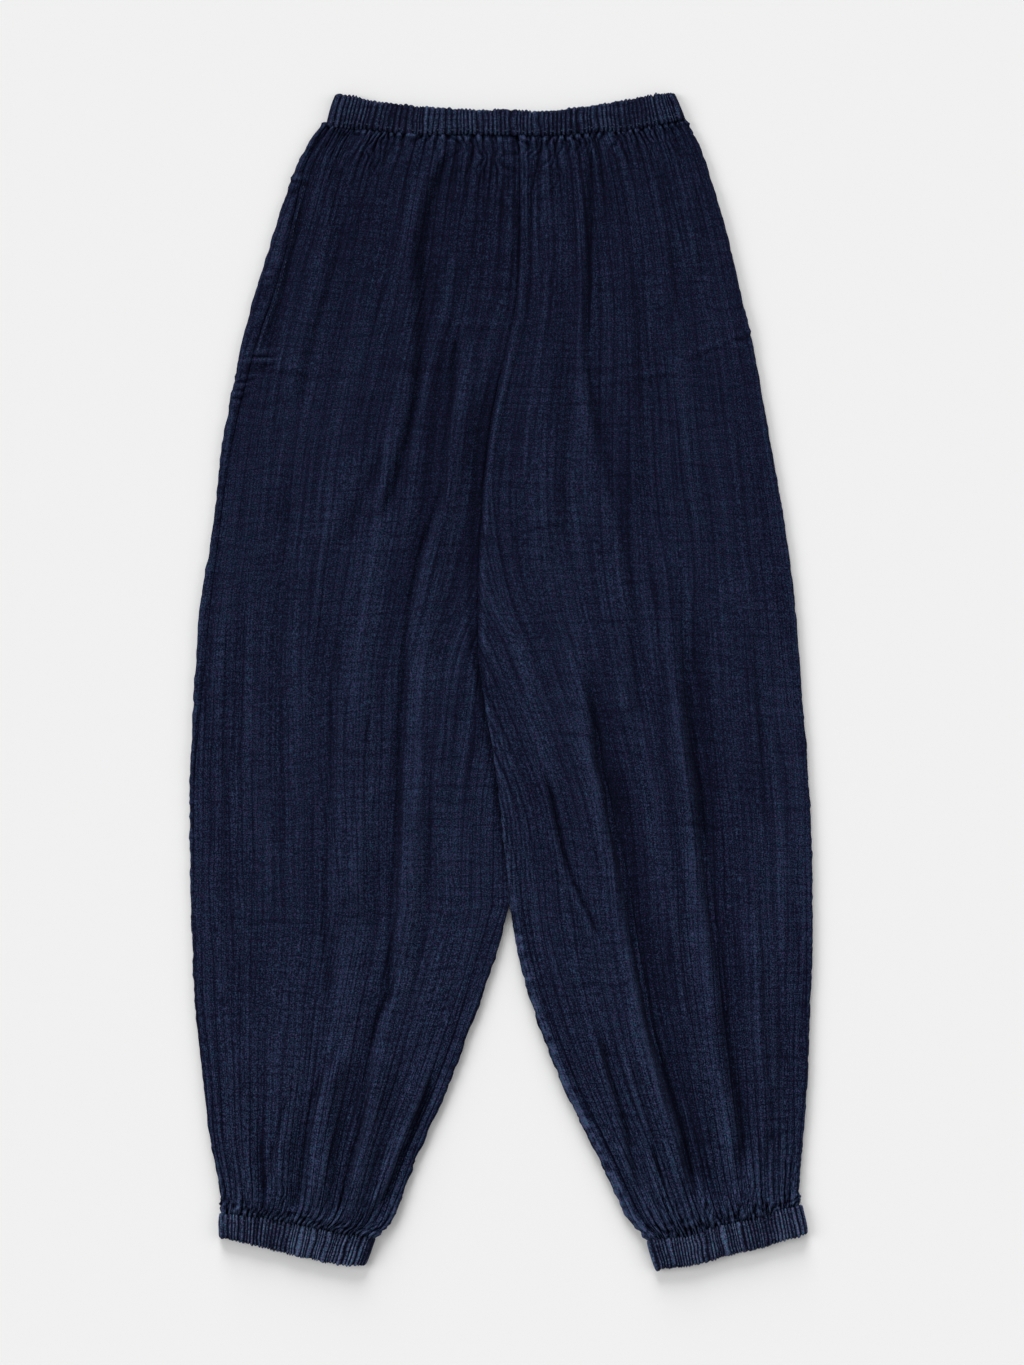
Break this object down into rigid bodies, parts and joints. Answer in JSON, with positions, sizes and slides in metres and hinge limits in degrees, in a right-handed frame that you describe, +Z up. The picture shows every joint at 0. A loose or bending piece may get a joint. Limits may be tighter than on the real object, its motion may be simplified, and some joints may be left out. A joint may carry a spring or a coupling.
{
  "type": "crinkled cotton balloon trousers laid flat",
  "caption": "Pull-on balloon trousers of crinkled indigo cotton, laid flat front up, with gathered waistband, wide tapering legs, side seam pockets and gathered cuffs.",
  "frame": {"origin": "centre of the bounding box in plan, at the plane the garment lies on", "axes": "+X towards the viewer's right as the garment lies front up, +Y from the cuffs towards the waist, +Z up from the surface it lies on"},
  "size_m": [0.5305, 1.0001, 0.0184],
  "materials": {
    "leg_cotton": "matt crinkled double gauze, dark indigo with a fine slub",
    "casing_cotton": "the same cotton gathered into ribs over elastic, paler on the tops of the ribs"
  },
  "bodies": {
    "root": {"front_panel_left": "leg_cotton", "front_panel_right": "leg_cotton", "back_panel_left": "leg_cotton", "back_panel_right": "leg_cotton", "waistband": "casing_cotton", "cuff_left": "casing_cotton", "cuff_right": "casing_cotton", "pocket_front_left": "leg_cotton", "pocket_back_left": "leg_cotton", "pocket_front_right": "leg_cotton", "pocket_back_right": "leg_cotton"}
  },
  "joints": []
}
